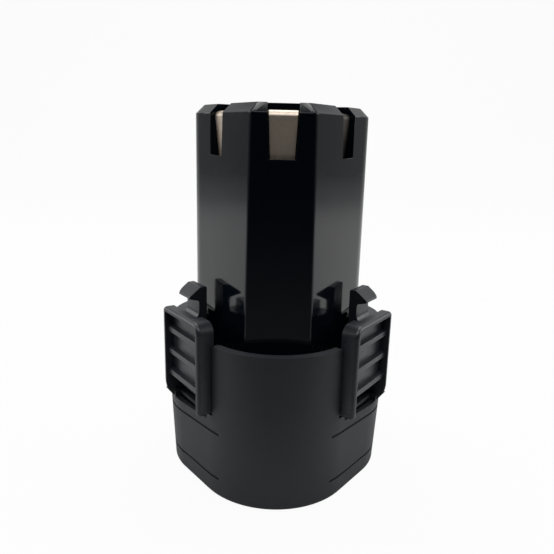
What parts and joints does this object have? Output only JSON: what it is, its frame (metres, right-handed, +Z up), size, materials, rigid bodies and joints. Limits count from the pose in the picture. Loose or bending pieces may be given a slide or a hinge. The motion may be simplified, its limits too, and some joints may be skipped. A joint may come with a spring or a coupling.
{
  "type": "power tool battery pack",
  "caption": "Stick battery pack for a cordless drill: glossy plug-in tower with slotted contacts, matt cup below it and a hinged spring latch with a hook on each flank.",
  "frame": {"origin": "on the flat underside of the cup, in the middle of the width and on the axis of the three cells", "axes": "+Z up along the cells to the contacts, +X to the right seen from the front contact facet, -Y out of that facet"},
  "size_m": [0.0542, 0.0491, 0.0883],
  "materials": {
    "tower": "glossy black moulded plastic",
    "cup": "matt dark grey moulded plastic with a fine grain",
    "latch": "matt near-black moulded plastic, slightly worn on the ribs",
    "steel": "plain steel",
    "cell_can": "shrink wrap on a steel can",
    "insulator": "pale fibre paper",
    "holder": "natural moulded plastic",
    "foam": "closed-cell foam",
    "strip": "nickel-plated strip",
    "board": "green solder mask with black chips",
    "carrier": "black moulded plastic",
    "contact": "plated spring metal, slightly tarnished",
    "sensor": "dipped bead on tinned leads"
  },
  "bodies": {
    "case": {"tower_shell": "tower", "cup_shell": "cup", "latch_pin_left": "steel", "latch_pin_right": "steel", "latch_spring_left": "steel", "latch_spring_right": "steel", "cell_front": "cell_can", "cell_rear_left": "cell_can", "cell_rear_right": "cell_can", "cell_insulators": "insulator", "cell_holder_lower": "holder", "cell_holder_upper": "holder", "foam_pad": "foam", "strip_lower_link": "strip", "strip_upper_link": "strip", "strip_positive": "strip", "strip_negative": "strip", "circuit_board": "board", "contact_carrier": "carrier", "contact_front": "contact", "contact_left": "contact", "contact_right": "contact", "thermistor": "sensor", "case_screws": "steel"},
    "left_latch": {"latch_left": "latch"},
    "right_latch": {"latch_right": "latch"}
  },
  "joints": [
    {"name": "left_latch_hinge", "type": "hinge", "parent": "case", "child": "left_latch", "pos_m": [-0.01769, -0.01239, 0.0226], "axis": [-0.5736, 0.8192, 0], "range_deg": [0, 4.5], "stiffness_Nm_per_rad": 0.5, "deforming": ["latch_spring_left"]},
    {"name": "right_latch_hinge", "type": "hinge", "parent": "case", "child": "right_latch", "pos_m": [0.01769, -0.01239, 0.0226], "axis": [-0.5736, -0.8192, 0], "range_deg": [0, 4.5], "stiffness_Nm_per_rad": 0.5, "deforming": ["latch_spring_right"]}
  ]
}
